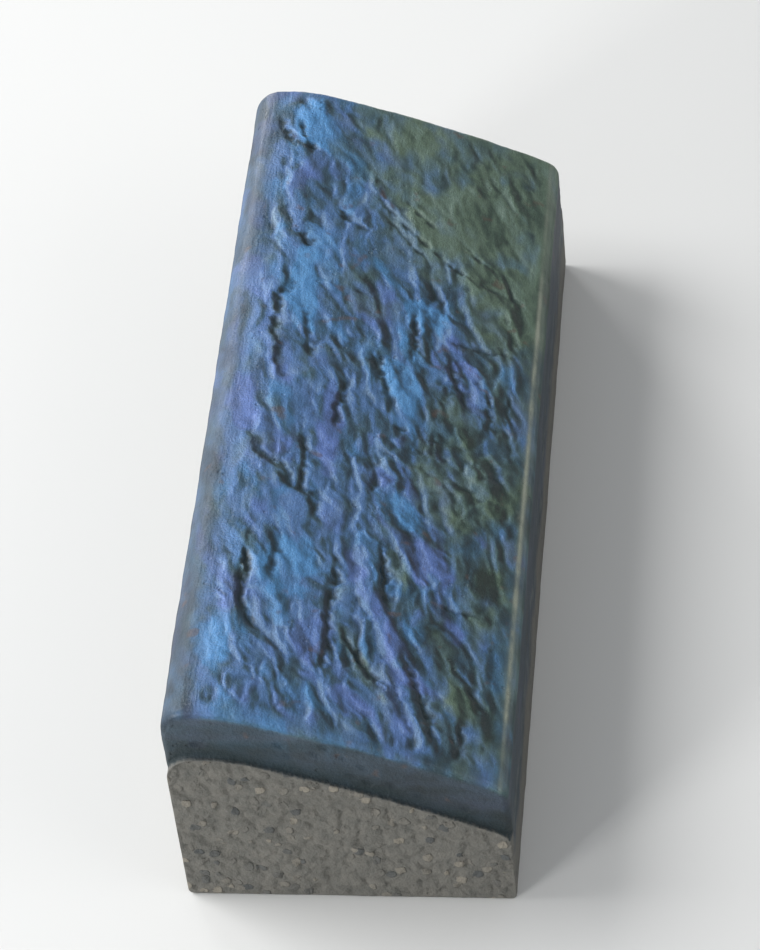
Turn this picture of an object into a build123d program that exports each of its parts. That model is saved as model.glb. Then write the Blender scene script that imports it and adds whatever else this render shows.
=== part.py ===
from build123d import *

import math
import os

# One kerb stone of a laid run: a cast concrete stone with a slanted, gently crowned face.
# X runs across the kerb, from the high back to the low toe.
# Y runs along the kerb, Z is up, and the origin is under the middle of the stone, on its foot.

# Overall size, in millimetres
LENGTH = 418.0  # from the middle of one joint to the middle of the next
WIDTH = 152.0  # back face to toe face
CREST_HEIGHT = 127.0  # foot to the top of the crest
TOE_HEIGHT = 75.0  # foot to the corner where the slant meets the toe face

# Section across the kerb
CREST_WIDTH = 28.0  # back face to the corner where the crest turns down into the slant
SLANT_CROWN = 3.0  # how far the slant bulges above a straight line
SHOULDER_RADIUS = 14.0  # back face into crest
CREST_ROLL_RADIUS = 70.0  # crest into slant, a slow roll
LEAST_CREST_FLAT = 1.0  # level strip that always stays between the shoulder and the roll
ARRIS_RADIUS = 10.0  # slant into toe face
FOOT_EASE = 3.0  # the two long edges of the foot

# Tooled joint: a groove over the back, crest, slant and toe, half of it on each of two stones
JOINT_WIDTH = 6.0
JOINT_DEPTH = 30.0  # below the surface, the same all the way over
LIP_RADIUS = 3.5  # the edge that the jointing tool rounds over


def section_face():
    """The stone's section across the kerb, with every corner rounded."""
    back = -WIDTH / 2
    toe = WIDTH / 2
    crest_corner = (back + CREST_WIDTH, CREST_HEIGHT)
    toe_corner = (toe, TOE_HEIGHT)

    # The crest's roll turns by the slant's slope at its upper end, on what the shoulder leaves of the crest.
    run = toe - crest_corner[0]
    rise = CREST_HEIGHT - TOE_HEIGHT
    chord = math.hypot(run, rise)
    turn = math.atan2(rise, run) - 2 * math.atan(2 * SLANT_CROWN / chord)
    roll_room = CREST_WIDTH - SHOULDER_RADIUS - LEAST_CREST_FLAT
    roll_radius = min(CREST_ROLL_RADIUS, roll_room / math.tan(turn / 2))

    outline = Polyline(toe_corner, (toe, 0), (back, 0), (back, CREST_HEIGHT), crest_corner)
    slant = SagittaArc(crest_corner, toe_corner, SLANT_CROWN)
    face = Plane.XZ * make_face([outline, slant])

    def corner(x, z):
        return face.vertices().sort_by_distance((x, 0, z))[0]

    for x, z, radius in (
        (back, 0, FOOT_EASE),
        (toe, 0, FOOT_EASE),
        (toe, TOE_HEIGHT, ARRIS_RADIUS),
        (*crest_corner, roll_radius),
        (back, CREST_HEIGHT, SHOULDER_RADIUS),
    ):
        face = fillet(corner(x, z), radius)
    return face


def kerb_stone():
    """The stone: its full section between the two grooves, and a deeper core that meets the next stones."""
    half_length = LENGTH / 2
    face_end = half_length - JOINT_WIDTH / 2
    section = section_face()

    # The part between the grooves, with the lips that the jointing tool leaves at both ends
    body = extrude(section, face_end, both=True)
    lips = body.edges().filter_by(lambda edge: abs(abs(edge.center().Y) - face_end) < 0.01)
    lips = lips.filter_by(lambda edge: edge.center().Z > FOOT_EASE)
    body = fillet(lips, LIP_RADIUS)

    # Below the grooves the stone keeps its whole length: the section and a lowered copy share the core.
    core_section = section & Pos(0, 0, -JOINT_DEPTH) * section
    return body + extrude(core_section, half_length, both=True)


stone = kerb_stone()
os.makedirs("parts", exist_ok=True)
export_step(stone, "parts/kerb_stone.step")

size = stone.bounding_box().size
print(f"kerb_stone: {size.X:.1f} x {size.Y:.1f} x {size.Z:.1f} mm, {stone.volume / 1e6:.3f} litres")
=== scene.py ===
# %% [markdown]
# # A concrete kerb stone with a stamped slate face
#
# The stone is one cast piece of charcoal concrete. Its slanted face was stamped with a slate
# texture, its joints were cut with a rounded tool, and the part that shows was sealed, so that it
# looks a little wet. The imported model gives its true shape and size, and this lesson adds what the
# hand and the stamp left: the relief, the colour and the sheen.

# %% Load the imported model, which stays as it is
import math

import bmesh
import bpy
import numpy as np
from mathutils import Matrix, Vector


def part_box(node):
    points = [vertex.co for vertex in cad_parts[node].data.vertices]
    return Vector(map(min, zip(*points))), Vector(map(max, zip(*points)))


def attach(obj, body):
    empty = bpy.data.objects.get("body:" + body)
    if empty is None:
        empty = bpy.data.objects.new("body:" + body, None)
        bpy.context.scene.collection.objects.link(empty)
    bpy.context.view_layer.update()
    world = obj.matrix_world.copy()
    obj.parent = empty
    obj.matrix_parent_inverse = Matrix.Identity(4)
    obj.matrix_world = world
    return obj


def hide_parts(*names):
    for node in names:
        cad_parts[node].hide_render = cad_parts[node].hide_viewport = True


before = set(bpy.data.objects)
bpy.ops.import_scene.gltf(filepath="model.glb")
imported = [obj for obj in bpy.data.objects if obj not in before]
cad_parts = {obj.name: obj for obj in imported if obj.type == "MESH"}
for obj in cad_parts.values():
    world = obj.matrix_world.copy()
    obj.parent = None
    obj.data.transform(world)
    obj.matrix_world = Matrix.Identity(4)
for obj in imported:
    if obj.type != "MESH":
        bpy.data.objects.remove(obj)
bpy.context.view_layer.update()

MM = 0.001
NODE = "kerb_stone"
_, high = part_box(NODE)
half_width = high.x / MM
half_length = high.y / MM
height = high.z / MM
print(f"stone: {2 * half_width:.0f} x {2 * half_length:.0f} x {height:.0f} mm")

# %% [markdown]
# ## The camera
#
# The stone is seen from where a standing person sees it: from above, a little to the toe's side,
# looking along the kerb. A long lens from that same place keeps the perspective of a distant view
# and fills the frame. The camera is turned about its own axis by the small roll of a hand-held shot.

# %% Place the camera
VIEW_FROM = Vector((0.230, -1.307, 1.457))
VIEW_AT = Vector((0.0, 0.0, 0.060))
ROLL = math.radians(-7.0)
LENS_MM = 151.0

camera_data = bpy.data.cameras.new("camera")
camera_data.lens = LENS_MM
camera_data.sensor_width = 36.0
camera = bpy.data.objects.new("camera", camera_data)
bpy.context.scene.collection.objects.link(camera)
aim = (VIEW_AT - VIEW_FROM).to_track_quat("-Z", "Y").to_matrix().to_4x4()
camera.matrix_world = Matrix.Translation(VIEW_FROM) @ aim @ Matrix.Rotation(ROLL, 4, "Z")
bpy.context.scene.camera = camera
print(f"camera {(VIEW_AT - VIEW_FROM).length:.2f} m away")

# %% [markdown]
# ## Light, floor and background
#
# A large soft lamp high on the back's side gives the relief its shadows and the sealed crest its
# sheen, as an open sky would. A weaker one on the toe's side keeps the toe readable. Two small low
# lamps light the back and the ends, with a spread that keeps them off most of the floor. More
# ambient light would do that too, but it would also fill the shadows that show the relief. The pale
# background is a colour that only the camera sees, so it adds no light.

# %% Lamps
def soft_lamp(name, place, size, power, spread_degrees=180.0):
    """A square lamp that looks at the stone; a small spread keeps its light off the floor beside it."""
    data = bpy.data.lights.new(name, "AREA")
    data.shape = "SQUARE"
    data.size = size
    data.energy = power
    data.spread = math.radians(spread_degrees)
    lamp = bpy.data.objects.new(name, data)
    bpy.context.scene.collection.objects.link(lamp)
    place = Vector(place)
    turn = (VIEW_AT - place).to_track_quat("-Z", "Y").to_matrix().to_4x4()
    lamp.matrix_world = Matrix.Translation(place) @ turn
    lamp.visible_camera = False
    return lamp


soft_lamp("key", (-2.4, 0.5, 2.3), size=2.0, power=108.0)
soft_lamp("near", (-1.9, -2.1, 0.60), size=0.8, power=5.0, spread_degrees=50.0)
soft_lamp("far", (-1.6, 2.4, 0.60), size=0.8, power=3.0, spread_degrees=50.0)
soft_lamp("toe", (2.2, -0.8, 1.4), size=1.8, power=13.0)
print("four lamps, the key by far the strongest")

# %% World and floor
PALE = (0.86, 0.87, 0.88, 1.0)
AMBIENT_TINT = (0.94, 0.97, 1.0, 1.0)
AMBIENT = 0.40
FLOOR_COLOUR = (0.70, 0.70, 0.69, 1.0)
FLOOR_HALF_SIZE = 8.0


def pale_world():
    world = bpy.data.worlds.new("studio")
    bpy.context.scene.world = world
    world.use_nodes = True
    nodes, links = world.node_tree.nodes, world.node_tree.links
    nodes.clear()
    path = nodes.new("ShaderNodeLightPath")
    ambient = nodes.new("ShaderNodeBackground")
    ambient.inputs["Color"].default_value = AMBIENT_TINT
    ambient.inputs["Strength"].default_value = AMBIENT
    shown = nodes.new("ShaderNodeBackground")
    shown.inputs["Color"].default_value = PALE
    seen = nodes.new("ShaderNodeMixShader")
    links.new(path.outputs["Is Camera Ray"], seen.inputs["Fac"])
    links.new(ambient.outputs[0], seen.inputs[1])
    links.new(shown.outputs[0], seen.inputs[2])
    out = nodes.new("ShaderNodeOutputWorld")
    links.new(seen.outputs[0], out.inputs["Surface"])


def pale_floor():
    mesh = bpy.data.meshes.new("floor")
    form = bmesh.new()
    bmesh.ops.create_grid(form, x_segments=1, y_segments=1, size=FLOOR_HALF_SIZE)
    form.to_mesh(mesh)
    form.free()
    floor = bpy.data.objects.new("floor", mesh)
    bpy.context.scene.collection.objects.link(floor)
    material = bpy.data.materials.new("pale floor")
    material.use_nodes = True
    shader = material.node_tree.nodes["Principled BSDF"]
    shader.inputs["Base Color"].default_value = FLOOR_COLOUR
    shader.inputs["Roughness"].default_value = 0.9
    mesh.materials.append(material)


pale_world()
pale_floor()
bpy.context.scene.view_settings.view_transform = "Standard"
print(f"floor {2 * FLOOR_HALF_SIZE:.0f} m wide, ambient light {AMBIENT}")

# %% [markdown]
# ## Noise, the raw material of the relief
#
# A stamp is cast from real split slate: broad swells, cleft facets that lean each its own way, thin
# steps between them. Blender's own noise textures could make it, but a height map in plain numpy can
# be blurred, measured and reused for the colour. So the relief is worked out on a fine grid over the
# stone's plan, in millimetres, and the mesh reads it afterwards. Wherever noise is called below, what
# a place is divided by is the size of one noise cell in millimetres, and the next number is the seed.

# %% The grid, and two kinds of noise
STEP = 0.5
MARGIN = 2.0


def plan_axis(half_size):
    count = int(round(2 * (half_size + MARGIN) / STEP)) + 1
    return -half_size - MARGIN + STEP * np.arange(count)


grid_x, grid_y = np.meshgrid(plan_axis(half_width), plan_axis(half_length))
print(f"relief map: {grid_x.shape[0]} x {grid_x.shape[1]} points, {STEP} mm apart")


def ease(start, end, value):
    """0 before start, 1 after end, with a soft rise in between."""
    t = np.clip((value - start) / (end - start), 0, 1)
    return t * t * (3 - 2 * t)


def noise(u, v, seed, period=128):
    """Gradient noise, about -1 to 1, with one lattice cell for each unit of u and v."""
    angle = np.random.default_rng(seed).uniform(0, 2 * np.pi, (period, period))
    cell_u, cell_v = np.floor(u).astype(int), np.floor(v).astype(int)
    off_u, off_v = u - cell_u, v - cell_v

    def corner(step_u, step_v):
        turn = angle[(cell_u + step_u) % period, (cell_v + step_v) % period]
        return np.cos(turn) * (off_u - step_u) + np.sin(turn) * (off_v - step_v)

    blend_u = off_u ** 3 * (off_u * (6 * off_u - 15) + 10)
    blend_v = off_v ** 3 * (off_v * (6 * off_v - 15) + 10)
    near = corner(0, 0) * (1 - blend_u) + corner(1, 0) * blend_u
    far = corner(0, 1) * (1 - blend_u) + corner(1, 1) * blend_u
    return 1.4 * (near * (1 - blend_v) + far * blend_v)


def rough_noise(u, v, seed, octaves=3, gain=0.5):
    """Several sizes of noise on top of each other, each half as wide as the one before."""
    total = np.zeros_like(u)
    for octave in range(octaves):
        total += gain ** octave * noise(u * 2 ** octave, v * 2 ** octave, seed + octave)
    return total


def pebbles(u, v, seed, period=64):
    """Rounded stones in a loose packing: their height, 0 to 1, and a shade from -1 to 1 for each."""
    rng = np.random.default_rng(seed)
    middle_u, middle_v = rng.uniform(0.1, 0.9, (2, period, period))
    shade = rng.uniform(-1, 1, (period, period))
    cell_u, cell_v = np.floor(u).astype(int), np.floor(v).astype(int)
    nearest = np.full_like(u, np.inf)
    shown = np.zeros_like(u)
    for step_u in (-1, 0, 1):
        for step_v in (-1, 0, 1):
            key = (cell_u + step_u) % period, (cell_v + step_v) % period
            to_u = u - (cell_u + step_u) - middle_u[key]
            to_v = v - (cell_v + step_v) - middle_v[key]
            distance = np.hypot(to_u, to_v)
            here = distance < nearest
            nearest = np.where(here, distance, nearest)
            shown = np.where(here, shade[key], shown)
    return np.sqrt(np.clip(1 - (nearest / 0.6) ** 2, 0, 1)), shown


def blur(field, radius):
    """A soft average over a radius in millimetres, along one axis and then the other."""
    reach = int(math.ceil(3 * radius / STEP))
    weight = np.exp(-0.5 * (np.arange(-reach, reach + 1) * STEP / radius) ** 2)
    weight /= weight.sum()
    padded = np.pad(field, reach, mode="edge")
    rows, columns = field.shape
    tall = sum(w * padded[i:i + rows] for i, w in enumerate(weight))
    return sum(w * tall[:, i:i + columns] for i, w in enumerate(weight))


# %% [markdown]
# ## The slate relief
#
# Split slate is made of two things: thin flakes that lie over each other and end in ragged steps, and
# a fibrous grain with short dark cracks. Both run along the kerb and lean a little towards the toe.
# Grid points are pushed about by slow noise first, so that no edge is straight. The cracks are noise
# folded at zero, which turns every zero line into a sharp valley. The flakes are laid one by one, and
# the highest one wins at each point, as in a real stack.

# %% The stamp's grain, folded into cracks
GRAIN_LEAN = 17.0
warp_x = 4.0 * rough_noise(grid_x / 40, grid_y / 50, 11) + 1.2 * rough_noise(grid_x / 9, grid_y / 12, 15, 2)
warp_y = 5.0 * rough_noise(grid_x / 40, grid_y / 50, 21) + 1.2 * rough_noise(grid_x / 9, grid_y / 12, 25, 2)
bent_x, bent_y = grid_x + warp_x, grid_y + warp_y


def along_grain(x, y, lean_degrees, length, width):
    """Coordinates along and across the grain, in cells of that length and width."""
    lean = math.radians(lean_degrees)
    s, c = math.sin(lean), math.cos(lean)
    return (x * s - y * c) / length, (x * c + y * s) / width


def cracked_grain(lean_degrees, length, width, seed, octaves=4, gain=0.52, softness=0.05):
    """Rounded ribs with sharp valleys between them."""
    u, v = along_grain(bent_x, bent_y, lean_degrees, length, width)
    total = np.zeros_like(u)
    for octave in range(octaves):
        rib = noise(u * 2 ** octave, v * 2 ** octave, seed + octave)
        total += gain ** octave * (np.hypot(rib, softness) - softness)
    return total


grain = cracked_grain(GRAIN_LEAN, length=30, width=12, seed=101)
print(f"grain: {np.ptp(grain):.1f} high before scaling")

# %% The stamp's flakes, laid over each other
ragged_x = bent_x + 0.5 * rough_noise(grid_x / 3, grid_y / 4, 31, 2)
ragged_y = bent_y + 0.5 * rough_noise(grid_x / 3, grid_y / 4, 35, 2)


def flakes(seed, count, length, width, lean_degrees, spread, tilt, rise, steepness):
    """A stack of thin tilted flakes along the grain, each with a short steep edge and two shades."""
    rng = np.random.default_rng(seed)
    past_edge, roundness = 8, 1.6
    stack = np.full_like(grid_x, -rise)
    shades = np.zeros((2, *grid_x.shape))
    axis_x, axis_y = grid_x[0], grid_y[:, 0]
    for _ in range(count):
        middle_x = rng.uniform(-half_width - past_edge, half_width + past_edge)
        middle_y = rng.uniform(-half_length - past_edge, half_length + past_edge)
        lean = math.radians(lean_degrees + spread * rng.normal())
        long_half = length * rng.lognormal(0, 0.35)
        short_half = width * rng.lognormal(0, 0.30)
        top = rng.uniform(0, rise)
        dip, roll = tilt * 0.5 * rng.normal(), tilt * rng.normal()
        reach = 1.3 * max(long_half, short_half) + 14
        rows = slice(*np.searchsorted(axis_y, (middle_y - reach, middle_y + reach)))
        columns = slice(*np.searchsorted(axis_x, (middle_x - reach, middle_x + reach)))
        x, y = ragged_x[rows, columns] - middle_x, ragged_y[rows, columns] - middle_y
        u = x * math.sin(lean) - y * math.cos(lean)
        v = x * math.cos(lean) + y * math.sin(lean)
        outline = np.abs(u / long_half) ** roundness + np.abs(v / short_half) ** roundness
        outline = outline ** (1 / roundness)
        fall = steepness * min(long_half, short_half) * np.clip(outline - 1, 0, None)
        flake = top + dip * u + roll * v - fall
        on_top = flake > stack[rows, columns]
        stack[rows, columns] = np.where(on_top, flake, stack[rows, columns])
        for shade, value in zip(shades, rng.uniform(-1, 1, 2)):
            shade[rows, columns] = np.where(on_top, value, shade[rows, columns])
    return stack, *shades


wide_flakes, flake_tone, flake_hue = flakes(
    seed=5, count=520, length=17, width=6.0, lean_degrees=GRAIN_LEAN,
    spread=14, tilt=0.05, rise=0.7, steepness=0.66,
)
small_flakes, small_tone, _ = flakes(
    seed=6, count=2200, length=7, width=2.4, lean_degrees=GRAIN_LEAN - 2,
    spread=18, tilt=0.06, rise=0.5, steepness=0.75,
)
swell = rough_noise(grid_x / 60, grid_y / 80, 81, 2)
print(f"flakes: {wide_flakes.std():.2f} and {small_flakes.std():.2f} mm of depth on average")

# %% [markdown]
# ## Clefts, scarps and blades
#
# The eye knows a stone by its few large marks, and no noise puts them in the right place. So the
# deep clefts, the long scarp and the raised blades of this stone are drawn one by one, each as a
# short line of points in millimetres: across from the middle, and along from the middle. A drawn
# line alone looks like a pen stroke, so its path wanders and its width changes by noise.

# %% A line pressed into the relief
wander_x = grid_x + 0.9 * rough_noise(grid_x / 5, grid_y / 5, 91, 2)
wander_y = grid_y + 0.9 * rough_noise(grid_x / 5, grid_y / 5, 95, 2)
wander_x += 0.4 * rough_noise(grid_x / 1.9, grid_y / 2.4, 96, 2)
girth = np.clip(0.8 + 1.1 * rough_noise(grid_x / 6, grid_y / 6, 97, 3), 0.2, 1.7)


def near_line(points):
    """Each grid point's distance from a line, its side of it, and how far along the line it is, 0 to 1."""
    points = np.array(points, float)
    lengths = np.hypot(*np.diff(points, axis=0).T)
    total, done = lengths.sum(), 0.0
    distance = np.full_like(grid_x, np.inf)
    side = np.zeros_like(grid_x)
    share = np.zeros_like(grid_x)
    for start, end, length in zip(points[:-1], points[1:], lengths):
        way = (end - start) / length
        from_x, from_y = wander_x - start[0], wander_y - start[1]
        reach = np.clip(from_x * way[0] + from_y * way[1], 0, length)
        off = np.hypot(from_x - reach * way[0], from_y - reach * way[1])
        here = off < distance
        distance = np.where(here, off, distance)
        side = np.where(here, np.sign(way[0] * from_y - way[1] * from_x), side)
        share = np.where(here, (done + reach) / total, share)
        done += length
    return distance, side, share


def cleft(points, width, depth, lift=0.0, lift_reach=18.0):
    """A cut, steep on the right of its direction, gentle on the left; lift raises the left, as at a scarp."""
    distance, side, share = near_line(points)
    taper = ease(0, 0.3, share) * ease(0, 0.3, 1 - share)
    gentle, steep = 1.9, 0.75
    reach = width * girth * np.where(side > 0, gentle, steep)
    cut = -depth * girth ** 0.7 * np.exp(-(distance / reach) ** 2)
    step = lift * side * np.exp(-distance / lift_reach) * ease(0, 1.2 * width, distance)
    return taper * (cut + step)


def blade(points, width, rise):
    """A long raised pad with a flat back and steep sides."""
    distance, _, share = near_line(points)
    taper = ease(0, 0.25, share) * ease(0, 0.25, 1 - share)
    return rise * taper * ease(width, 0.45 * width, distance)


# %% The marks of this stone: points, then width, depth and lift in millimetres
SCARP = [(-18, 149), (-8, 140), (2, 129), (12, 119), (22, 111), (33, 103), (46, 98), (60, 97), (71, 98)]
BESIDE_CREST = [
    (-43, 90), (-47, 77), (-45, 67), (-50, 56), (-48, 45),
    (-50, 34), (-45, 25), (-46, 14), (-41, 4), (-35, -6),
]
ACROSS_MIDDLE = [
    (-57, -24), (-51, -36), (-48, -46), (-38, -53),
    (-34, -62), (-23, -66), (-18, -77), (-10, -88),
]
NEAR_CREST = [(-45, -88), (-47, -108), (-45, -119), (-48, -127), (-46, -141), (-41, -150), (-33, -165)]
CLEFTS = [
    (SCARP, 0.9, 0.9, 0.2),
    ([(-64, 190), (-59, 177), (-51, 162)], 1.4, 0.9, -0.2),
    ([(-50, 185), (-46, 172), (-41, 158)], 1.5, 1.4, -0.4),
    ([(-31, 123), (-17, 118), (-8, 114)], 1.6, 1.2, 0.3),
    ([(-6, 128), (3, 121), (10, 112), (21, 104)], 0.9, 0.8, 0.2),
    ([(2, 146), (13, 134), (26, 124)], 0.8, 0.7, 0.1),
    ([(30, 128), (42, 116), (54, 110)], 0.8, 0.7, 0.1),
    ([(-44, 103), (-35, 93)], 1.8, 1.5, -0.2),
    (BESIDE_CREST, 1.3, 0.9, -0.6),
    (ACROSS_MIDDLE, 2.1, 0.8, -0.6),
    (NEAR_CREST, 1.2, 1.5, -0.5),
    ([(14, 70), (16, 57), (16, 43), (14, 31)], 1.3, 1.3, -0.4),
    ([(33, 49), (35, 33), (40, 23), (44, 8)], 1.3, 1.1, -0.3),
    ([(22, 58), (36, 54), (49, 55), (60, 58), (70, 60)], 0.9, 0.9, 0.2),
    ([(-11, 17), (-15, -7), (-15, -24)], 1.3, 1.1, -0.4),
    ([(-4, 38), (1, 25), (6, 14), (13, 6)], 1.9, 1.6, -0.4),
    ([(7, -10), (19, -11), (28, -8)], 1.1, 0.9, 0.2),
    ([(29, -6), (30, -25)], 1.1, 1.0, -0.2),
    ([(12, -81), (14, -100), (15, -113), (17, -125)], 1.5, 1.6, -0.5),
    ([(-8, -92), (-7, -115), (-9, -133), (-7, -150), (-10, -178)], 1.2, 1.4, -0.4),
    ([(39, -112), (48, -113), (59, -112)], 1.1, 1.0, 0.3),
    ([(-3, -136), (3, -149), (11, -161), (21, -175)], 1.5, 1.5, -0.4),
    ([(23, -142), (31, -160), (37, -174), (42, -190), (45, -202)], 1.3, 1.4, -0.5),
    ([(53, -172), (54, -188), (53, -200)], 1.2, 1.0, -0.3),
    ([(55, -152), (61, -171)], 1.4, 1.1, -0.3),
    ([(-36, -88), (-34, -108), (-37, -128)], 1.2, 0.8, -0.3),
    ([(-30, -20), (-26, -45), (-28, -70)], 1.2, 0.8, -0.3),
    ([(-38, 60), (-33, 38), (-30, 16)], 1.2, 0.8, -0.3),
    ([(52, 34), (54, 12), (50, -8)], 1.1, 0.8, -0.3),
]
BLADES = [
    ([(1, 36), (8, 20), (13, 5)], 5.0, 1.0),
    ([(3, -106), (12, -124), (22, -143), (33, -164)], 6.0, 1.2),
    ([(19, 72), (20, 51)], 3.0, 0.8),
    ([(-28, -172), (-21, -200)], 3.0, 0.5),
    ([(26, -160), (38, -196)], 3.5, 0.7),
]
drawn = np.zeros_like(grid_x)
for points, width, depth, lift in CLEFTS:
    drawn += cleft(points, width, depth, lift)
for points, width, rise in BLADES:
    drawn += blade(points, width, rise)
print(f"{len(CLEFTS)} clefts and {len(BLADES)} blades, {drawn.min():.1f} to {drawn.max():.1f} mm")

# %% [markdown]
# ## Where the stamp reached
#
# The stamp left the crest, the eased toe and a narrow strip beside each joint smooth. It bit deepest
# towards the near end, pressed lightly past the scarp on the toe's side, and left a few facets
# flatter than the rest. Masks hold the relief back there. On the slate face their edges are frayed
# by noise, since a clean edge would give a mask away.

# %% Masks with frayed edges
CREST_EDGE = -58.0
TOE_EDGE = 69.0
JOINT_EDGE = 201.0
frayed = 0.3 * rough_noise(bent_x / 7, bent_y / 11, 351, 3)


def patch(across, along, half_wide, half_long, lean_degrees=0.0):
    """1 in the middle of an oval patch, fading to 0 at its frayed edge; it may lean as the grain does."""
    lean = math.radians(lean_degrees)
    x, y = bent_x - across, bent_y - along
    u = (x * math.cos(lean) + y * math.sin(lean)) / half_wide
    v = (x * math.sin(lean) - y * math.cos(lean)) / half_long
    return 1 - ease(0.5, 1.15, np.hypot(u, v) + frayed)


stamped = ease(CREST_EDGE - 6, CREST_EDGE + 4, grid_x + 0.25 * warp_x)
stamped *= 1 - ease(TOE_EDGE - 5, TOE_EDGE + 4, grid_x)
stamped *= 1 - ease(JOINT_EDGE - 5, JOINT_EDGE + 1.5, np.abs(grid_y))
scarp_distance, scarp_side, _ = near_line(SCARP)
past_scarp = scarp_distance * scarp_side
light_touch = ease(-3, 9, past_scarp + 14 * frayed) * ease(-38, 6, bent_x - 10 * frayed)
print(f"stamped: {stamped.mean():.0%} of the plan, lightly on {light_touch.mean():.0%}")

# %% How hard the stamp pressed; flat facets: across, along, half wide, half long, lean in degrees
FLAT_FACETS = [
    (-38, 66, 9, 30, 3),
    (-27, -112, 15, 24, 8),
    (-56, -15, 8, 20, 0),
    (-20, -18, 7, 34, 4),
    (-32, -78, 15, 18, 0),
    (20, -138, 8, 30, 30),
]
LIGHTER_PAST_SCARP = 0.38
FLATTER = 0.5
strength = np.clip(0.90 + 0.45 * rough_noise(grid_x / 38, grid_y / 38, 33, 2), 0.3, 1.5)
near_part = 1 - ease(-130, -80, bent_y)
toe_part = ease(-20, 20, bent_x)
strength *= 0.80 + 0.34 * np.maximum(near_part, 0.6 * toe_part)
strength *= 1 - LIGHTER_PAST_SCARP * light_touch
for facet in FLAT_FACETS:
    strength *= 1 - FLATTER * patch(*facet)
print(f"strength: {strength.min():.2f} to {strength.max():.2f}")

# %% The finished relief map, in millimetres
GRAIN_PART = 1.3
WIDE_FLAKE_PART = 0.62
SMALL_FLAKE_PART = 0.24
SWELL_PART = 0.7
DRAWN_PART = 0.85
BUBBLE_PART = 0.55
STAMP_SOFTNESS = 0.3

bubbles, _ = pebbles(bent_x / 7.5, bent_y / 9, 361)
bubbles *= patch(32, -38, 42, 30) + 0.8 * patch(45, 10, 24, 34)
texture = GRAIN_PART * (grain - grain.mean())
texture += WIDE_FLAKE_PART * (wide_flakes - wide_flakes.mean())
texture += SMALL_FLAKE_PART * (small_flakes - small_flakes.mean())
relief = strength * texture + SWELL_PART * swell + DRAWN_PART * drawn + BUBBLE_PART * bubbles
relief = blur(stamped * relief, STAMP_SOFTNESS)
print(f"relief: {relief.min():.1f} to {relief.max():.1f} mm")

# %% [markdown]
# ## The mesh
#
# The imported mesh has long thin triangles, and nothing fine can be pressed into those. A copy of it is
# merged and remade from small even cells, which also rounds its edges a little, as concrete has them.
# Then every point moves along its normal: on the top by the relief map and the trowel's lines, on
# the sides, the foot and the ends by marks of their own. At the end a decimation thins the flat parts
# and leaves the points where the relief needs them. A displacement in the material would be shorter,
# but it would leave nothing in the mesh itself.

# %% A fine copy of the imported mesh
CELL = 0.85 * MM


def fine_copy(node, name):
    form = bmesh.new()
    form.from_mesh(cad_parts[node].data)
    bmesh.ops.remove_doubles(form, verts=form.verts, dist=1e-6)
    mesh = bpy.data.meshes.new(name)
    form.to_mesh(mesh)
    form.free()
    piece = bpy.data.objects.new(name, mesh)
    bpy.context.scene.collection.objects.link(piece)
    remesh = piece.modifiers.new("even cells", "REMESH")
    remesh.mode = "VOXEL"
    remesh.voxel_size = CELL
    remesh.use_smooth_shade = True
    apply_modifiers(piece)
    return piece


def apply_modifiers(piece):
    """Turns the piece's modifiers into its own mesh."""
    bpy.context.view_layer.update()
    seen = piece.evaluated_get(bpy.context.evaluated_depsgraph_get())
    made = bpy.data.meshes.new_from_object(seen)
    piece.modifiers.clear()
    old = piece.data
    piece.data = made
    bpy.data.meshes.remove(old)


stone = fine_copy(NODE, "stone")
print(f"even cells: {len(stone.data.vertices)} points")

# %% Read and write points as numbers
def read_points(mesh):
    """All points of a mesh and their normals; points in millimetres."""
    count = len(mesh.vertices)
    place, normal = np.empty(count * 3, np.float32), np.empty(count * 3, np.float32)
    mesh.vertices.foreach_get("co", place)
    mesh.vertex_normals.foreach_get("vector", normal)
    return place.reshape(-1, 3).astype(float) / MM, normal.reshape(-1, 3).astype(float)


def write_points(mesh, place):
    mesh.vertices.foreach_set("co", (place * MM).astype(np.float32).ravel())
    mesh.update()


def sample(field, x, y):
    """The value of a map at any place of the plan, between its grid points."""
    u = np.clip((x - grid_x[0, 0]) / STEP, 0, field.shape[1] - 1.001)
    v = np.clip((y - grid_y[0, 0]) / STEP, 0, field.shape[0] - 1.001)
    i, j = u.astype(int), v.astype(int)
    u, v = u - i, v - j
    near = field[j, i] * (1 - u) + field[j, i + 1] * u
    far = field[j + 1, i] * (1 - u) + field[j + 1, i + 1] * u
    return near * (1 - v) + far * v


# %% The top of the section, read from the mesh
PROFILE_STEP = 0.5
AWAY_FROM_ENDS = 20.0

place, normal = read_points(stone.data)
inner = (np.abs(place[:, 1]) < half_length - AWAY_FROM_ENDS) & (normal[:, 2] > 0.2)
order = np.argsort(place[inner, 0])
sorted_x, sorted_z = place[inner, 0][order], place[inner, 2][order]
profile_x = np.arange(-half_width, half_width, PROFILE_STEP)
nearest = np.searchsorted(sorted_x, profile_x)
found = nearest < len(sorted_x)
profile_x, profile_z = profile_x[found], sorted_z[nearest[found]]
print(f"top of the section: {profile_z.min():.0f} mm at the toe to {profile_z.max():.0f} mm at the crest")

# %% Which part of the stone each point belongs to
JOINT_WIDTH = 6.0
JOINT_DEPTH = 30.0
FACE_END = half_length - JOINT_WIDTH / 2
ON_TOP_DEPTH = 6.0


def depth_below_top(place):
    """How far each point lies below the top of the section at its place across the stone."""
    return np.interp(place[:, 0], profile_x, profile_z) - place[:, 2]


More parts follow.
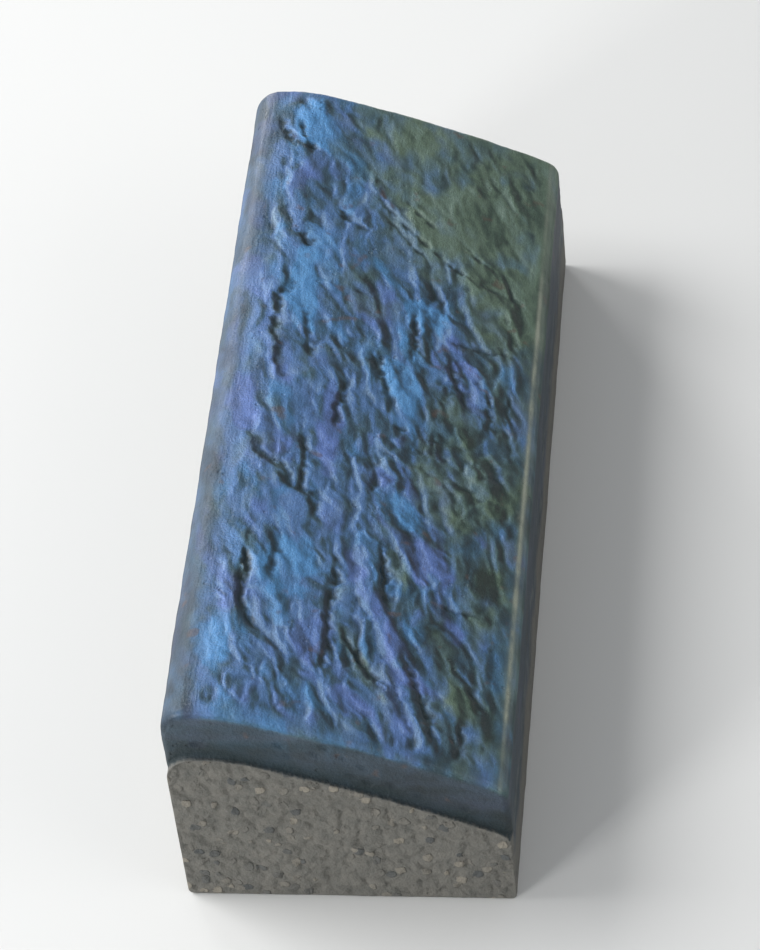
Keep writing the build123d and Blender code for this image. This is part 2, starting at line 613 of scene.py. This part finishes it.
def zones(place, normal):
    """How much each point belongs to the top, the ends, the sides and the foot, each 0 to 1."""
    on_top = (1 - ease(2.0, ON_TOP_DEPTH, depth_below_top(place))) * ease(0.25, 0.55, normal[:, 2])
    on_top *= np.abs(place[:, 1]) < FACE_END + 0.5
    on_end = ease(0.75, 0.95, np.abs(normal[:, 1]))
    on_side = ease(0.75, 0.95, np.abs(normal[:, 0]))
    on_foot = ease(0.75, 0.95, -normal[:, 2])
    return on_top, on_end, on_side, on_foot


# %% Marks of the former and of the break
def side_marks(place):
    """What the former left on the back and the toe: long faint drag lines on slow waves."""
    drag = 0.05 * rough_noise(place[:, 1] / 60, place[:, 2] / 3.0, 201, 2)
    return drag + 0.35 * rough_noise(place[:, 1] / 30, place[:, 2] / 18, 205, 3, 0.6)


def crest_marks(place):
    """What the trowel left on the smooth strips of the top: long faint lines and low lumps."""
    lines = 0.08 * rough_noise(place[:, 0] / 2.6, place[:, 1] / 95, 221, 2)
    lumps = 0.22 * rough_noise(place[:, 0] / 14, place[:, 1] / 30, 225, 4, 0.6)
    return lines + lumps


def break_marks(place):
    """Torn lumps and bared stones where the concrete parted, only ever inwards; each end has its own."""
    deepest, other_end = 3.2, 400.0
    x, z = place[:, 0] + other_end * (place[:, 1] > 0), place[:, 2]
    torn = rough_noise(x / 34, z / 26, 211, 2)
    shift = 0.35 * rough_noise(x / 6, z / 6, 213, 2)
    lumps, _ = pebbles(x / 8 + shift, z / 7, 215)
    grains, _ = pebbles(x / 3.6 + shift, z / 3.4 - shift, 217)
    return -np.clip(2.1 + 1.2 * torn - 1.4 * lumps - 0.7 * grains, 0, deepest)


def wall_marks(place, depth):
    """The jointing tool's drag along the wall of the groove, with small air holes."""
    drag = 0.10 * rough_noise(place[:, 0] / 50, depth / 2.2, 235, 2)
    holes, shade = pebbles(place[:, 0] / 11, depth / 9, 239)
    return drag - 0.7 * ease(0.90, 0.97, holes) * (shade > 0.2)


def foot_marks(place):
    """The print of the ground that the stone was cast on."""
    return -np.clip(0.3 + 0.5 * rough_noise(place[:, 0] / 25, place[:, 1] / 25, 231, 2), 0, 1.5)


# %% Press everything in
def press(mesh):
    place, normal = read_points(mesh)
    on_top, on_end, on_side, on_foot = zones(place, normal)
    in_core = ease(FACE_END + 0.5, FACE_END + 2.0, np.abs(place[:, 1]))
    inside = ease(0, 5, place[:, 2]) * (1 - 0.8 * in_core)
    smooth_top = on_top * (1 - sample(stamped, place[:, 0], place[:, 1]))
    move = on_top * sample(relief, place[:, 0], place[:, 1]) + smooth_top * crest_marks(place)
    move += on_side * inside * side_marks(place)
    depth = depth_below_top(place)
    on_wall = on_end * (1 - in_core) * ease(3, 6, depth) * ease(JOINT_DEPTH, JOINT_DEPTH - 2, depth)
    move += on_wall * wall_marks(place, depth)
    move += on_end * in_core * ease(0, 3, place[:, 2]) * break_marks(place)
    move += on_foot * foot_marks(place)
    write_points(mesh, place + normal * move[:, None])
    print(f"points moved by {move.min():.1f} to {move.max():.1f} mm")


press(stone.data)

# %% Thin the flat parts
TRIANGLES = 192_000
stone.data.calc_loop_triangles()
thin = stone.modifiers.new("thin the flat parts", "DECIMATE")
thin.ratio = min(1.0, TRIANGLES / len(stone.data.loop_triangles))
apply_modifiers(stone)
stone.data.shade_smooth()
stone.data.calc_loop_triangles()
print(f"thinned to {len(stone.data.loop_triangles)} triangles")

# %% [markdown]
# ## Maps for the finish
#
# On this stone colour follows relief and light. Facets that lean back to the crest keep the blue grey
# of the sealed colour, made lighter and bluer by a painted sheen like a sky seen in the sealer; those
# that lean to the toe and the clefts are painted darker, as painted shade, and so are the toe's half
# and the crest. Past the scarp and towards the toe the stone turns olive, partly a painted reflection
# of green surroundings. So the map that shaped the stone also gives its colour. A few ovals, given one
# by one, tint the facets that stand out. All of it is kept as values on the points of the mesh, since
# these stay with the stone wherever it goes.

# %% Tone and hue, worked out from the relief
# How strongly slope, place across the stone and the crest set the painted sheen and shade in the tone.
PAINTED_LIGHT_FROM_SLOPE = 1.5
PAINTED_SHADE_TOWARDS_TOE = 0.0022
CREST_PAINTED_SHADE = 0.36

slope_y, slope_x = np.gradient(blur(relief, 0.45), STEP)
# Painted sheen and shade from each facet's slope: leaning back to the crest lighter, leaning to the toe
# darker.
facing_sky = slope_x + 0.55 * slope_y
hollow = blur(relief, 3.5) - relief
cracks = blur(relief, 1.2) - blur(relief, 0.3)
# Painted shade on the crest, which the lamps light more than the face.
on_crest = (1 - ease(-68, -56, grid_x)) * (1.3 - 0.4 * ease(-190, -60, grid_y))
# Painted shade: the tone also falls towards the toe.
tone_map = 0.57 + PAINTED_LIGHT_FROM_SLOPE * facing_sky - PAINTED_SHADE_TOWARDS_TOE * grid_x - CREST_PAINTED_SHADE * on_crest
tone_map += 0.12 * rough_noise(grid_x / 20, grid_y / 28, 301, 3)
tone_map += 0.15 * blur(flake_tone, 0.7) + 0.10 * blur(small_tone, 0.5)
hue_map = 0.5 + 0.35 * blur(flake_hue, 0.9) + 0.25 * rough_noise(grid_x / 25, grid_y / 25, 341, 2)
# Olive past the scarp and towards the toe: partly the stone's colour, partly a painted reflection of green
# surroundings.
olive_map = 0.72 * ease(-34, 16, past_scarp + 30 * frayed) * ease(-42, 8, bent_x - 20 * frayed)
olive_map += 0.42 * ease(20, 74, grid_x)
olive_map += 0.45 * rough_noise(bent_x / 12, bent_y / 18, 331, 3) - 0.05
print(f"tone map {tone_map.mean():.2f}, olive map {olive_map.mean():.2f} on average")

# %% What each kind of tint adds to tone, hue and olive
# Where a blue tint (azure, violet, indigo, blue) lightens a facet it is partly a painted reflection of sky;
# olive and green tints are partly a painted reflection of green surroundings.
TINTS = {
    "azure": (0.30, -0.65, -0.7),
    "violet": (0.17, 0.48, -0.7),
    "indigo": (0.06, 0.42, -0.6),
    "blue": (0.18, 0.0, -0.6),
    "olive": (0.0, 0.0, 0.6),
    "green": (-0.12, 0.0, 0.9),
    "dark": (-0.15, 0.0, 0.35),
    "pale": (0.14, 0.0, 0.4),
}

# %% The tinted facets: across, along, half wide, half long, lean in degrees
TINTED = {
    "azure": [
        (-38, 62, 8, 34, 3), (-42, 182, 9, 20, 10), (20, 68, 13, 14, 30), (15, 16, 7, 20, 22),
        (22, -64, 9, 14, 20), (-56, -168, 8, 15, 0), (-28, -112, 14, 22, 8),
    ],
    "violet": [
        (44, 32, 4, 16, 12), (-19, -20, 6, 34, 4), (35, -95, 9, 18, 15), (20, -138, 7, 34, 30),
        (48, -127, 4, 11, 8), (6, -182, 9, 10, 0), (2, -103, 6, 12, 0),
    ],
    "indigo": [(-56, -14, 7, 20, 0)],
    "blue": [(-31, -80, 15, 16, 0), (-24, -150, 10, 20, 0)],
    "olive": [(8, -156, 5, 24, 34), (45, -40, 30, 32, 0), (60, 78, 20, 34, 0)],
    "green": [(19, -100, 6, 13, 10), (51, -167, 8, 13, 10), (8, 191, 9, 7, 0), (49, 148, 6, 26, 0)],
    "dark": [
        (-45, 22, 4, 24, 8), (-46, -112, 4, 20, 0), (5, 22, 5, 20, 22), (35, 0, 14, 22, 10),
        (-10, 75, 12, 26, 20), (58, -92, 11, 16, 0), (59, -110, 6, 10, 0), (63, -172, 3, 14, 8),
        (48, 104, 16, 7, 30), (8, 134, 5, 20, 45), (44, -142, 6, 20, 15), (62, -92, 10, 14, 0),
        (-40, -45, 5, 24, 35),
    ],
    "pale": [(30, 140, 44, 22, 50), (0, 188, 22, 14, 0)],
}
for kind, ovals in TINTED.items():
    more_tone, more_hue, more_olive = TINTS[kind]
    for oval in ovals:
        share = patch(*oval)
        tone_map += more_tone * share
        hue_map += more_hue * share
        olive_map += more_olive * share
print(f"{sum(len(ovals) for ovals in TINTED.values())} tinted facets")

# %% Which finish each point has: joint, soil, and the painted highlight on the toe's arris
SOIL_LINE = 27.0
SOIL_TILT = 0.16
TORN_BLEND = 0.3
# A painted highlight along the toe's arris: its inset from the toe and its width.
ARRIS_HIGHLIGHT_INSET = 3.4
ARRIS_HIGHLIGHT_WIDTH = 0.9
BLOOM_HEIGHT = 9.0
SEALED_DOWN_BACK = 18
SEALED_DOWN_TOE = 5

place, normal = read_points(stone.data)
on_top, *_ = zones(place, normal)
x, y, z = place.T
depth = depth_below_top(place)
on_joint = ease(FACE_END - 4, FACE_END - 3, np.abs(y)) * ease(3, 6, depth)
torn = on_joint * ease(JOINT_DEPTH - TORN_BLEND, JOINT_DEPTH + TORN_BLEND, depth)
on_wall = on_joint * (1 - torn)
stains = rough_noise(y / 40, z / 12, 371, 4)
sealed_down = np.where(x < 0, SEALED_DOWN_BACK + 14 * stains, SEALED_DOWN_TOE)
off_top = (1 - on_top) * (1 - on_joint)
coloured = on_top + off_top * (1 - ease(2, np.maximum(sealed_down, 4), depth))
soil = SOIL_LINE + (half_width - x) * SOIL_TILT + 7 * rough_noise(y / 40, x / 40, 311, 4, 0.6)
raw = np.maximum(1 - ease(soil - 7, soil + 6, z), torn)
toe_top = np.interp(half_width - 4, profile_x, profile_z)
# A painted highlight: a pale line along the toe's arris, fainter towards the ends.
edge = np.exp(-((x - (half_width - ARRIS_HIGHLIGHT_INSET)) / ARRIS_HIGHLIGHT_WIDTH) ** 2) * ease(toe_top - 4, toe_top - 1, z)
toe_arris_highlight = edge * (0.9 + 0.6 * rough_noise(y / 9, z / 14, 321, 4)) * (np.abs(y) < FACE_END)
toe_arris_highlight *= 0.35 + 0.65 * (1 - ease(95, 130, y)) * ease(-185, -150, y)
bloom = np.exp(-((z - soil - BLOOM_HEIGHT) / 8) ** 2)
bloom *= (1 - coloured) * ease(-0.2, 0.9, rough_noise(y / 12, z / 9, 391, 4, 0.6))
print(f"{(raw > 0.5).mean():.0%} of the points raw, {(torn > 0.5).mean():.0%} torn")

# %% Colour and sheen of each point
# Painted shade: below the top the toe's side is darker than the back, and the sealed colour running down the
# sides is darker than on the top.
below_top = 0.22 - 0.08 * (x > 0) + 0.10 * stains
tone = coloured * (sample(tone_map, x, y) - 0.12 * (1 - on_top)) + (1 - coloured) * below_top
# Painted shade: the joint groove's wall darkens with depth.
tone += on_wall * (0.10 - 0.008 * depth + 0.10 * rough_noise(x / 25, depth / 8, 381, 4))
olive = coloured * sample(olive_map, x, y) + (1 - coloured) * (0.55 + 0.25 * stains)
# Painted shade: darker in the clefts and hollows of the relief and towards the floor of the joint groove.
recess_shade = on_top * np.clip(sample(hollow, x, y) / 1.1 + sample(cracks, x, y) / 0.5, 0, 1)
recess_shade += on_wall * 0.7 * ease(16, JOINT_DEPTH, depth + 3 * rough_noise(x / 8, depth / 8, 385, 3))
dull = 0.45 * coloured * (1 - ease(-70, -50, x + 5 * rough_noise(x / 20, y / 30, 395, 3)))
dull += (1 - coloured) * (0.65 + 0.3 * stains)
sealed = (0.3 + 0.7 * on_top * (1 - 1.4 * dull)) * (1 - raw)
print(f"tone {tone.mean():.2f}, sheen {sealed.mean():.2f} on average")

# %% Keep them on the points
POINT_VALUES = {
    "torn": torn,
    "bloom": bloom,
    "dull": dull,
    "sealed": sealed,
    "tone": tone,
    "olive": olive,
    "hue": sample(hue_map, x, y),
    "recess_shade": recess_shade,
    "raw": raw,
    "toe_arris_highlight": toe_arris_highlight,
}
for name, values in POINT_VALUES.items():
    layer = stone.data.attributes.new(name, "FLOAT", "POINT")
    layer.data.foreach_set("value", np.clip(values, 0, 1).astype(np.float32))
print(f"{len(POINT_VALUES)} values on each of {len(place)} points")

# %% [markdown]
# ## The sealed concrete
#
# One material covers the stone, since it is one piece of concrete. Its colour runs from a dark teal
# to blue grey by tone, or from dark to pale olive; the blue and the olive are partly painted reflections
# of sky and of green surroundings, and the tone carries painted sheen and shade. It darkens in the
# clefts with painted shade. It is duller on the crest and the sides, pale along the toe's corner, where
# a highlight is painted, and plain grey concrete below the soil line, with a pale bloom just above it.
# The torn ends bare the stones in the mix. The sealer is a thin clear coat, absent on the raw parts.
# What is too fine for the mesh is bump: sand, fibres, air holes and the edges of the bared stones.

# %% Small helpers for nodes
def node(tree, kind, **values):
    """Adds a node, sets its properties and inputs, and links any socket that is given."""
    made = tree.nodes.new("ShaderNode" + kind)
    for name, value in values.items():
        if hasattr(made, name) and name not in made.inputs:
            setattr(made, name, value)
            continue
        socket = made.inputs[name.replace("_", " ")]
        if isinstance(value, bpy.types.NodeSocket):
            tree.links.new(value, socket)
        else:
            socket.default_value = value
    return made


def colour(red, green, blue):
    """A colour as seen on a screen, 0 to 255, in the linear form that a shader takes."""
    share = np.array((red, green, blue)) / 255
    linear = np.where(share <= 0.04045, share / 12.92, ((share + 0.055) / 1.055) ** 2.4)
    return (*linear.tolist(), 1.0)


def mix(tree, factor, first, second, blend="MIX"):
    """Mixes two colours by a factor; each may be a socket or a colour."""
    made = tree.nodes.new("ShaderNodeMix")
    made.data_type = "RGBA"
    made.blend_type = blend
    for index, value in ((0, factor), (6, first), (7, second)):
        if isinstance(value, bpy.types.NodeSocket):
            tree.links.new(value, made.inputs[index])
        else:
            made.inputs[index].default_value = value
    return made.outputs[2]


def math_node(tree, operation, *values, clamp=False):
    made = tree.nodes.new("ShaderNodeMath")
    made.operation = operation
    made.use_clamp = clamp
    for index, value in enumerate(values):
        if isinstance(value, bpy.types.NodeSocket):
            tree.links.new(value, made.inputs[index])
        else:
            made.inputs[index].default_value = value
    return made.outputs[0]


def value_on_points(tree, name):
    made = tree.nodes.new("ShaderNodeAttribute")
    made.attribute_name = name
    return made.outputs["Fac"]


# %% The colours of the finish
# The blues here, and the light ends of LAVENDER and AZURE, are partly the stone's own slate colour and partly
# a painted reflection of a blue sky on the sealer.
BLUES = (
    (0.00, colour(18, 38, 48)),
    (0.25, colour(36, 62, 78)),
    (0.45, colour(54, 86, 108)),
    (0.65, colour(68, 105, 148)),
    (0.85, colour(84, 121, 172)),
    (1.00, colour(110, 143, 184)),
)
# The olives are partly the stone's own colour and partly a painted reflection of green surroundings.
OLIVES = (
    (0.00, colour(28, 44, 38)),
    (0.25, colour(55, 76, 64)),
    (0.50, colour(86, 107, 90)),
    (0.75, colour(98, 120, 108)),
    (1.00, colour(116, 136, 124)),
)
LAVENDER = colour(42, 48, 88), colour(106, 124, 206)
AZURE = colour(22, 60, 78), colour(78, 148, 206)
DULL = colour(32, 37, 42), colour(88, 104, 136)
# The colour of the painted shade in the clefts and the joint groove.
CLEFT_SHADE = colour(12, 36, 40)
RUST = colour(88, 68, 58)
# The pale colour of the painted highlight on the toe's arris.
ARRIS_HIGHLIGHT_COLOUR = colour(152, 158, 142)
BLOOM = colour(122, 124, 114)
GROUND = colour(76, 78, 75), colour(116, 113, 106)
STONES = colour(66, 70, 72), colour(136, 130, 118)

# %% How strongly each is laid over the rest, and the sheen
LAVENDER_SHARE = 0.42
AZURE_SHARE = 0.7
# How far the painted shade darkens the clefts at most.
CLEFT_SHADE_SHARE = 0.74
RUST_SHARE = 0.5
BLOOM_SHARE = 0.4
STONES_SHARE = 0.8
BLOTCH_CONTRAST = 0.36
BARE_ROUGHNESS = 0.70
SMOOTHED_BY_SEALER = 0.28
BLOTCH_ROUGHNESS = 0.20
COAT = 0.36
COAT_ROUGHNESS = 0.36
BUMP_DEPTH = 1.0 * MM


def tone_ramp(tree, factor, stops):
    ramp = tree.nodes.new("ShaderNodeValToRGB")
    elements = ramp.color_ramp.elements
    for index, (at, value) in enumerate(stops):
        stop = elements[index] if index < 2 else elements.new(at)
        stop.position = at
        stop.color = value
    tree.links.new(factor, ramp.inputs["Fac"])
    return ramp.outputs["Color"]


def noise_value(tree, place, size_mm, detail=3.0, roughness=0.55):
    """Noise from 0 to 1 whose largest blotches are about the given size."""
    made = node(tree, "TexNoise", Vector=place, Scale=1000.0 / size_mm, Detail=detail, Roughness=roughness)
    return made.outputs["Fac"]


def between(tree, low, high, value):
    """0 at low, 1 at high, straight in between."""
    made = tree.nodes.new("ShaderNodeMapRange")
    made.inputs["From Min"].default_value = low
    made.inputs["From Max"].default_value = high
    tree.links.new(value, made.inputs["Value"])
    return made.outputs["Result"]


# %% The colour of the cast face
def scaled(tree, value, factor):
    """A socket's value times a factor."""
    return math_node(tree, "MULTIPLY", value, factor)


def face_colour(tree, place, blotch):
    """The sealed colour with its tints, painted shade in the clefts, specks, a painted highlight on the toe's
    arris, and bloom.
    """
    hue = value_on_points(tree, "hue")
    shift = math_node(tree, "MULTIPLY_ADD", blotch, BLOTCH_CONTRAST, -BLOTCH_CONTRAST / 2)
    toned = math_node(tree, "ADD", value_on_points(tree, "tone"), shift, clamp=True)
    to_lavender = scaled(tree, between(tree, 0.60, 0.95, hue), LAVENDER_SHARE)
    to_azure = scaled(tree, between(tree, 0.40, 0.05, hue), AZURE_SHARE)
    blue = mix(tree, to_lavender, tone_ramp(tree, toned, BLUES), mix(tree, toned, *LAVENDER))
    blue = mix(tree, to_azure, blue, mix(tree, toned, *AZURE))
    body = mix(tree, value_on_points(tree, "olive"), blue, tone_ramp(tree, toned, OLIVES))
    body = mix(tree, value_on_points(tree, "dull"), body, mix(tree, toned, *DULL))
    # Painted shade in the clefts, the hollows and the joint groove.
    body = mix(tree, scaled(tree, value_on_points(tree, "recess_shade"), CLEFT_SHADE_SHARE), body, CLEFT_SHADE)
    specks = between(tree, 0.66, 0.74, noise_value(tree, place, 11.0, 2.0, 0.5))
    body = mix(tree, scaled(tree, specks, RUST_SHARE), body, RUST)
    # The painted highlight along the toe's arris.
    body = mix(tree, value_on_points(tree, "toe_arris_highlight"), body, ARRIS_HIGHLIGHT_COLOUR)
    return mix(tree, scaled(tree, value_on_points(tree, "bloom"), BLOOM_SHARE), body, BLOOM)


# %% The colour of raw concrete, and the stones that the torn ends bare
def shaken(tree, place, scale, reach):
    """The place, pushed about by noise, up to a reach in metres, so that cells get uneven edges."""
    ripple = node(tree, "TexNoise", Vector=place, Scale=scale, Detail=2.0)
    push = node(tree, "VectorMath", operation="SCALE", Scale=reach)
    tree.links.new(ripple.outputs["Color"], push.inputs[0])
    moved = node(tree, "VectorMath", operation="ADD")
    tree.links.new(place, moved.inputs[0])
    tree.links.new(push.outputs[0], moved.inputs[1])
    return moved.outputs[0]


def bared_stones(tree, place):
    """A mask of the stones on the torn ends, and the colour of each."""
    uneven = shaken(tree, place, scale=420.0, reach=0.0022)
    packing = node(tree, "TexVoronoi", Vector=uneven, Scale=150.0, Randomness=1.0)
    kind = node(tree, "SeparateColor", Color=packing.outputs["Color"])
    inside = between(tree, 0.40, 0.33, packing.outputs["Distance"])
    chosen = between(tree, 0.50, 0.54, kind.outputs[1])
    is_stone = math_node(tree, "MULTIPLY", inside, chosen)
    bared = math_node(tree, "MULTIPLY", value_on_points(tree, "torn"), is_stone)
    return bared, mix(tree, kind.outputs[0], *STONES)


def flecked(tree, place, body):
    """The colour with the fine light and dark of its sand grains."""
    speck = noise_value(tree, place, 0.8, 2.0, 0.5)
    fleck = math_node(tree, "MULTIPLY_ADD", speck, 0.5, 0.75)
    grey = tree.nodes.new("ShaderNodeCombineColor")
    for channel in grey.inputs:
        tree.links.new(fleck, channel)
    return mix(tree, 1.0, body, grey.outputs["Color"], "MULTIPLY")


# %% Sheen and bump
def put_sealer(tree, shader, blotch):
    """A thin clear coat where the sealer is, uneven in its gloss."""
    sealed = value_on_points(tree, "sealed")
    rough = math_node(tree, "MULTIPLY_ADD", sealed, -SMOOTHED_BY_SEALER, BARE_ROUGHNESS)
    rough = math_node(tree, "MULTIPLY_ADD", blotch, BLOTCH_ROUGHNESS, rough, clamp=True)
    tree.links.new(rough, shader.inputs["Roughness"])
    tree.links.new(scaled(tree, sealed, COAT), shader.inputs["Coat Weight"])
    shader.inputs["Coat Roughness"].default_value = COAT_ROUGHNESS
    shader.inputs["Specular IOR Level"].default_value = 0.4


def fine_bump(tree, place, bared):
    """Sand, fibres along the grain, rare air holes and the edges of the bared stones."""
    sand = noise_value(tree, place, 1.3, 3.0, 0.65)
    turn = (0.0, 0.0, math.radians(GRAIN_LEAN))
    drawn_out = node(tree, "Mapping", Vector=place, Rotation=turn, Scale=(1.0, 0.16, 1.0))
    fibre = noise_value(tree, drawn_out.outputs["Vector"], 2.4, 3.0, 0.6)
    cells = node(tree, "TexVoronoi", Vector=place, Scale=210.0, Randomness=1.0)
    rare = between(tree, 0.58, 0.66, noise_value(tree, place, 23.0, 1.0, 0.5))
    hole = math_node(tree, "MULTIPLY", between(tree, 0.24, 0.10, cells.outputs["Distance"]), rare)
    rise = math_node(tree, "ADD", sand, scaled(tree, fibre, 0.9))
    rise = math_node(tree, "SUBTRACT", rise, scaled(tree, hole, 1.2))
    rise = math_node(tree, "ADD", rise, scaled(tree, bared, 0.9))
    return node(tree, "Bump", Height=rise, Strength=0.8, Distance=BUMP_DEPTH).outputs["Normal"]


# %% The material
def sealed_concrete():
    material = bpy.data.materials.new("sealed concrete")
    material.use_nodes = True
    tree = material.node_tree
    shader = tree.nodes["Principled BSDF"]
    place = tree.nodes.new("ShaderNodeTexCoord").outputs["Object"]
    blotch = noise_value(tree, place, 7.0, 4.0, 0.6)

    bared, stone_colour = bared_stones(tree, place)
    ground = mix(tree, scaled(tree, bared, STONES_SHARE), mix(tree, blotch, *GROUND), stone_colour)
    body = mix(tree, value_on_points(tree, "raw"), face_colour(tree, place, blotch), ground)
    tree.links.new(flecked(tree, place, body), shader.inputs["Base Color"])
    put_sealer(tree, shader, blotch)
    tree.links.new(fine_bump(tree, place, bared), shader.inputs["Normal"])
    return material


stone.data.materials.clear()
stone.data.materials.append(sealed_concrete())
print(f"material: {len(stone.data.materials[0].node_tree.nodes)} nodes")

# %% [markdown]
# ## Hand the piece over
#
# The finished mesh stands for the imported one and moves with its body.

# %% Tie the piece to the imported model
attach(stone, "root")
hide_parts(NODE)
